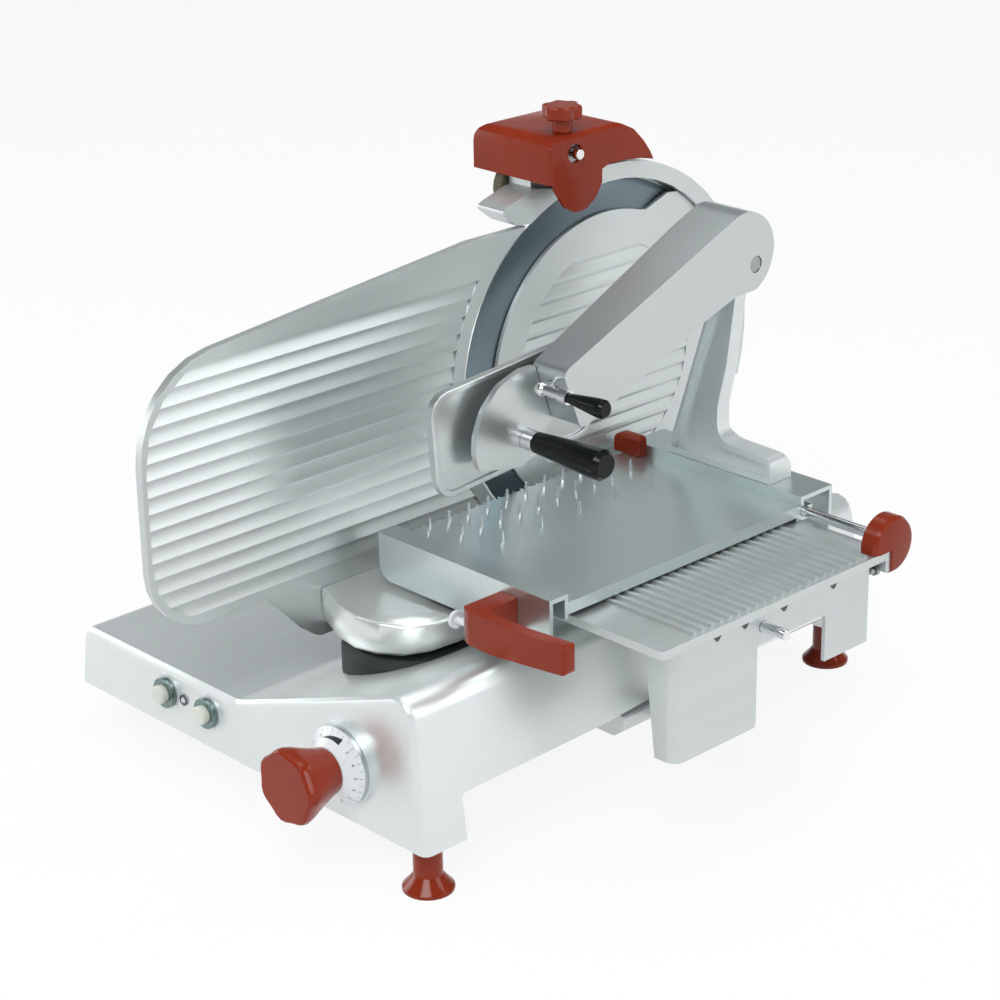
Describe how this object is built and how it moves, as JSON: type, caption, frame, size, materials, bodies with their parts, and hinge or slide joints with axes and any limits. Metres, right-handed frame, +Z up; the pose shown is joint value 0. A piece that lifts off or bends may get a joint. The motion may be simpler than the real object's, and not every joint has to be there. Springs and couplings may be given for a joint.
{
  "type": "vertical blade meat slicer",
  "caption": "Commercial meat slicer with a round upright blade, ribbed gauge plate, hand-pushed carriage with spiked table and swinging press arm, thickness dial and top sharpener.",
  "frame": {"origin": "centre of the bounding box, on the bench surface under the feet", "axes": "+X from the blade and motor side out to the carriage side, +Y along the carriage travel from the control panel to the rear, +Z up"},
  "size_m": [0.638, 0.7324, 0.5883],
  "materials": {
    "satin": "satin cast, lightly brushed",
    "polished": "polished",
    "blade_steel": "ground",
    "bright_steel": "bright",
    "red_brown": "satin moulded",
    "black_grip": "gloss moulded",
    "rubber": "matte",
    "white_plastic": "satin moulded",
    "stone": "coarse abrasive",
    "iron": "as cast",
    "bronze": "sintered",
    "button_plastic": "satin moulded"
  },
  "bodies": {
    "base": {"base_casting": "satin", "base_cover": "iron", "foot_front_right": "red_brown", "foot_front_left": "red_brown", "foot_rear_right": "red_brown", "foot_rear_left": "red_brown", "start_bezel": "bright_steel", "stop_bezel": "bright_steel", "pilot_lamp": "white_plastic", "gauge_rod_front": "bright_steel", "gauge_rod_rear": "bright_steel", "rubber_gaiter": "rubber", "blade_bearing": "bright_steel", "blade_housing": "satin", "drive_cover": "satin", "motor": "iron", "motor_cover": "satin", "drive_belt": "rubber", "ring_guard": "satin", "blade_cover": "satin", "sharpener_bracket": "satin", "sharpener_hood": "red_brown", "slide_rod": "bright_steel", "guide_rail": "bright_steel"},
    "start_press_button": {"start_button": "button_plastic"},
    "stop_press_button": {"stop_button": "button_plastic"},
    "dial": {"dial_ring": "white_plastic", "dial_knob": "red_brown", "cam_spindle": "iron"},
    "gauge": {"gauge_plate": "satin", "gauge_head": "polished", "gauge_slide_block": "iron"},
    "blade_rotor": {"blade": "blade_steel", "blade_shaft": "iron", "blade_pulley": "iron"},
    "motor_rotor": {"motor_pulley": "iron"},
    "grinder": {"grinding_wheel": "stone"},
    "honer": {"honing_wheel": "stone"},
    "sharpener_screw": {"sharpener_knob": "red_brown"},
    "sharpener_plunger": {"sharpener_pin": "bright_steel"},
    "carriage": {"carriage_casting": "satin", "carriage_arm": "satin", "slide_bushing_front": "bronze", "slide_bushing_rear": "bronze", "guide_rod": "bright_steel", "end_cap": "red_brown"},
    "carriage_lock": {"lock_pin": "bright_steel"},
    "table": {"meat_table": "satin", "rail_end_cap": "red_brown", "pillar": "satin", "pivot_pin": "bright_steel", "table_handle": "red_brown"},
    "table_clamp": {"clamp_screw": "white_plastic"},
    "press": {"press_arm": "satin", "fan_guard": "satin", "pusher_plate": "satin", "handle_ferrule": "bright_steel", "handle_grip": "black_grip"},
    "press_lever": {"clamp_lever": "bright_steel", "clamp_grip": "black_grip"}
  },
  "joints": [
    {"name": "start_press", "type": "slide", "parent": "base", "child": "start_press_button", "axis": [0, 1, 0], "range_m": [0, 0.004], "stiffness_N_per_m": 400},
    {"name": "stop_press", "type": "slide", "parent": "base", "child": "stop_press_button", "axis": [0, 1, 0], "range_m": [0, 0.004], "stiffness_N_per_m": 400},
    {"name": "gauge_slide", "type": "slide", "parent": "base", "child": "gauge", "axis": [-1, 0, 0], "range_m": [0, 0.015]},
    {"name": "dial_turn", "type": "hinge", "parent": "base", "child": "dial", "pos_m": [0.074, -0.26224, 0.0975], "axis": [0, 1, 0], "range_deg": [0, 330]},
    {"name": "blade_spin", "type": "hinge", "parent": "base", "child": "blade_rotor", "pos_m": [-0.044, 0.17346, 0.3275], "axis": [1, 0, 0], "continuous": true},
    {"name": "motor_spin", "type": "hinge", "parent": "base", "child": "motor_rotor", "pos_m": [-0.084, 0.24276, 0.178], "axis": [1, 0, 0], "continuous": true},
    {"name": "grinder_spin", "type": "hinge", "parent": "base", "child": "grinder", "pos_m": [-0.0875, 0.10476, 0.5045], "axis": [1, 0, 0], "continuous": true},
    {"name": "honer_spin", "type": "hinge", "parent": "base", "child": "honer", "pos_m": [-0.0325, 0.10976, 0.527], "axis": [1, 0, 0], "continuous": true},
    {"name": "sharpener_knob_turn", "type": "hinge", "parent": "base", "child": "sharpener_screw", "pos_m": [-0.03, 0.11026, 0.58], "axis": [0, 0, 1], "range_deg": [0, 360]},
    {"name": "sharpener_pin_push", "type": "slide", "parent": "base", "child": "sharpener_plunger", "axis": [-1, 0, 0], "range_m": [0, 0.006], "stiffness_N_per_m": 400},
    {"name": "carriage_slide", "type": "slide", "parent": "base", "child": "carriage", "axis": [0, 1, 0], "range_m": [-0.165, 0.235]},
    {"name": "lock_pin_pull", "type": "slide", "parent": "carriage", "child": "carriage_lock", "axis": [1, 0, 0], "range_m": [0, 0.008], "stiffness_N_per_m": 400},
    {"name": "table_slide", "type": "slide", "parent": "carriage", "child": "table", "axis": [1, 0, 0], "range_m": [-0.008, 0.084]},
    {"name": "clamp_screw_turn", "type": "hinge", "parent": "table", "child": "table_clamp", "pos_m": [0.125, -0.17024, 0.2165], "axis": [1, 0, 0], "range_deg": [0, 360]},
    {"name": "press_arm_swing", "type": "hinge", "parent": "table", "child": "press", "pos_m": [0.109, 0.19076, 0.454], "axis": [-1, 0, 0], "range_deg": [-10, 65]},
    {"name": "clamp_lever_turn", "type": "hinge", "parent": "press", "child": "press_lever", "pos_m": [0.115, -0.06124, 0.395], "axis": [0, -1, 0], "range_deg": [-15, 90]}
  ],
  "couplings": [
    {"joint": "dial_turn", "follows": "gauge_slide", "rad_per_m": 383.97},
    {"joint": "motor_spin", "follows": "blade_spin", "ratio": 2.5}
  ]
}
